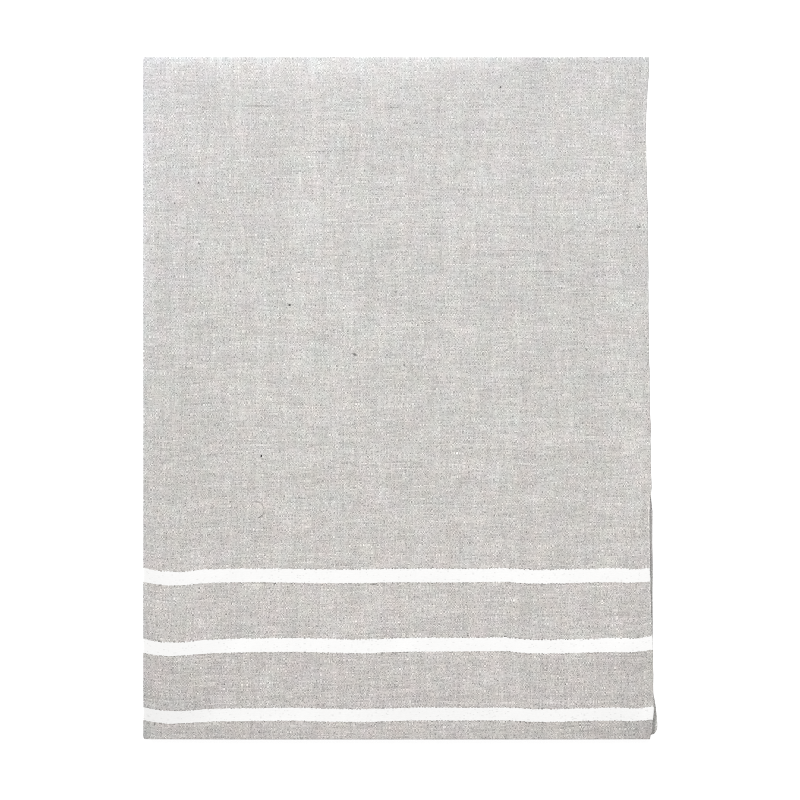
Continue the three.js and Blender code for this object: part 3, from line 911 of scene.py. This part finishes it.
# Grey-beige flax, a little warmer towards the striped end, with pinker and
# greener patches where the two sorts of flax are spun unevenly.
warmer = t.ramp(v_mm, 40.0, 560.0, 1.0, 0.0, kind="SMOOTHSTEP")
patch = t.ramp(t.noise(t.vector(t.mul(u_mm, 0.048), t.mul(v_mm, 0.040), 12.0), 1.0, 2.0, 0.6), 0.3, 0.7)
flax = t.blend(warmer, FLAX_COOL, FLAX_WARM)
flax = t.blend(patch, t.blend(1.0, flax, GREENER, "MULTIPLY"), t.blend(1.0, flax, PINKER, "MULTIPLY"))
patch = t.ramp(t.noise(t.vector(t.mul(u_mm, 0.05), t.mul(v_mm, 0.045), 19.0), 1.0, 2.0, 0.6), 0.3, 0.7)
flax = t.blend(patch, t.blend(1.0, flax, COOLER, "MULTIPLY"), t.blend(1.0, flax, WARMER, "MULTIPLY"))
flax = t.blend(wear_and_shade_parts.outputs[2], flax, t.blend(1.0, flax, FADED, "MULTIPLY"))
middle = t.mul(t.ramp(v_mm, 20.0, 260.0), t.ramp(v_mm, 340.0, 520.0, 1.0, 0.0))
flax = t.blend(middle, flax, t.blend(1.0, flax, UNDYED, "MULTIPLY"))
at_fold = t.mul(on_face, t.ramp(x_at, -226.0, -160.0, 1.0, 0.0))
flax = t.blend(t.mul(at_fold, t.ramp(v_mm, 330.0, 560.0)), flax, t.blend(1.0, flax, BLUER, "MULTIPLY"))


def scaled(colour, by):
    n = t.node("ShaderNodeVectorMath", operation="SCALE")
    t.put(n.inputs[0], colour)
    t.put(n.inputs["Scale"], by)
    return n.outputs[0]


band_white = t.blend(t.math("MULTIPLY", rib, 0.35), BAND_WHITE, BAND_SHADE)
colour = t.blend(band, scaled(flax, tone), scaled(band_white, white_tone))

height = t.mix(band, t.sub(t.add(crown, t.mul(shade, 0.15)), pore), t.add(0.35, t.mul(rib, 0.35)))
bump = t.node("ShaderNodeBump")
bump.inputs["Strength"].default_value = 0.35
bump.inputs["Distance"].default_value = 0.00016
t.put(bump.inputs["Height"], height)

shader = t.node("ShaderNodeBsdfPrincipled")
t.put(shader.inputs["Base Color"], colour)
t.put(shader.inputs["Normal"], bump.outputs[0])
shader.inputs["Roughness"].default_value = 0.92
shader.inputs["Specular IOR Level"].default_value = 0.22
shader.inputs["Sheen Weight"].default_value = 0.06
shader.inputs["Sheen Roughness"].default_value = 0.5
out = t.node("ShaderNodeOutputMaterial")
t.nt.links.new(shader.outputs[0], out.inputs[0])
mesh.materials.append(t.material)

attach(towel, "root")
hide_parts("towel")


# ---------------------------------------------------------------------------
# Surface, light and camera
# ---------------------------------------------------------------------------
floor_mesh = bpy.data.meshes.new("table_top")
reach = 30.0
floor_mesh.from_pydata([(-reach, -reach, 0), (reach, -reach, 0), (reach, reach, 0), (-reach, reach, 0)], [], [(0, 1, 2, 3)])
floor = bpy.data.objects.new("table_top", floor_mesh)
bpy.context.scene.collection.objects.link(floor)
f = Tree("table_white")
fs = f.node("ShaderNodeBsdfPrincipled")
fs.inputs["Base Color"].default_value = (0.25, 0.25, 0.25, 1)
fs.inputs["Roughness"].default_value = 0.8
fs.inputs["Emission Color"].default_value = (1, 1, 1, 1)
fs.inputs["Emission Strength"].default_value = 0.90
fo = f.node("ShaderNodeOutputMaterial")
f.nt.links.new(fs.outputs[0], fo.inputs[0])
floor_mesh.materials.append(f.material)
f.material.cycles.emission_sampling = "NONE"     # no thread is lit by it from above

world = bpy.data.worlds.new("studio")
bpy.context.scene.world = world
world.use_nodes = True
background = next(n for n in world.node_tree.nodes if n.type == "BACKGROUND")
background.inputs["Color"].default_value = (1.0, 1.0, 1.0, 1)
background.inputs["Strength"].default_value = 0.30


def area_light(name, place, aim, size, watts):
    data = bpy.data.lights.new(name, "AREA")
    data.shape = "RECTANGLE"
    data.size, data.size_y = size
    data.energy = watts
    ob = bpy.data.objects.new(name, data)
    bpy.context.scene.collection.objects.link(ob)
    ob.location = place
    ob.rotation_euler = (Vector(aim) - Vector(place)).to_track_quat("-Z", "Y").to_euler()
    return ob


area_light("key", (-5.2, 4.4, 6.0), (0, 0, 0), (2.4, 2.4), 690.0)
area_light("top", (0.1, 1.0, 1.5), (0, 0.1, 0), (0.9, 0.5), 13.5)

camera_data = bpy.data.cameras.new("camera")
camera_data.lens = 85.0
camera_data.sensor_width = 36.0
camera = bpy.data.objects.new("camera", camera_data)
bpy.context.scene.collection.objects.link(camera)
LOOK_AT = (0.18 * MM, -1.5 * MM, 8.0 * MM)
far = 800 * PIXEL * MM * camera_data.lens / camera_data.sensor_width
camera.location = (LOOK_AT[0], LOOK_AT[1], LOOK_AT[2] + far)
camera.rotation_euler = (0, 0, 0)
camera_data.clip_start, camera_data.clip_end = 0.1, 80
bpy.context.scene.camera = camera

settings = bpy.context.scene.view_settings
settings.view_transform = "Standard"
settings.look = "None"
settings.exposure = 0.0
settings.gamma = 1.0
bpy.context.scene.cycles.filter_width = 0.92     # crisp threads
bpy.context.scene.cycles.sample_clamp_direct = 4.0
bpy.context.scene.cycles.sample_clamp_indirect = 4.0
bpy.context.scene.cycles.use_denoising = False
